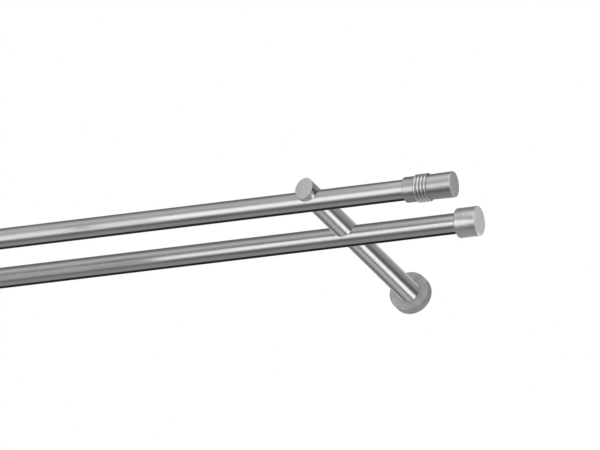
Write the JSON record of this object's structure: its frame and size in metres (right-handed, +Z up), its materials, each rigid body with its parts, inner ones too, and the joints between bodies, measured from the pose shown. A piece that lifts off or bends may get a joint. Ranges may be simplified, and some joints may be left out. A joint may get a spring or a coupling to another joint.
{
  "type": "double curtain pole",
  "caption": "Wall-mounted double curtain pole: parallel round tubes with glider tracks inside, seated under round bracket arms, with ridged finials in front and plain caps behind.",
  "frame": {"origin": "on the wall plane, on the line through the two wall bolts and halfway between them", "axes": "+X along the poles, to the right as seen from the room; +Y into the wall, along the wall bolts; +Z up"},
  "size_m": [1.0286, 0.301, 0.04],
  "materials": {
    "pole_metal": "brushed along its length, stainless steel look",
    "finial_metal": "finely turned, stainless steel look",
    "cap_metal": "finely turned, stainless steel look",
    "arm_metal": "brushed along its length, stainless steel look",
    "plate_metal": "brushed, stainless steel look",
    "screw_steel": "bright zinc plated",
    "stop_plastic": "moulded, matt"
  },
  "bodies": {
    "root": {"front_pole": "pole_metal", "rear_pole": "pole_metal", "front_finial_left": "finial_metal", "front_finial_right": "finial_metal", "rear_cap_left": "cap_metal", "rear_cap_right": "cap_metal", "finial_grub_screw_left": "screw_steel", "finial_grub_screw_right": "screw_steel", "cap_grub_screw_left": "screw_steel", "cap_grub_screw_right": "screw_steel", "front_end_stop_left": "stop_plastic", "front_end_stop_right": "stop_plastic", "rear_end_stop_left": "stop_plastic", "rear_end_stop_right": "stop_plastic", "bracket_arm_left": "arm_metal", "bracket_arm_right": "arm_metal", "wall_plate_left": "plate_metal", "wall_plate_right": "plate_metal", "hanger_bolt_left": "screw_steel", "hanger_bolt_right": "screw_steel", "front_clamp_screw_left": "screw_steel", "front_clamp_screw_right": "screw_steel", "rear_clamp_screw_left": "screw_steel", "rear_clamp_screw_right": "screw_steel", "front_slide_nut_left": "screw_steel", "front_slide_nut_right": "screw_steel", "rear_slide_nut_left": "screw_steel", "rear_slide_nut_right": "screw_steel"}
  },
  "joints": []
}
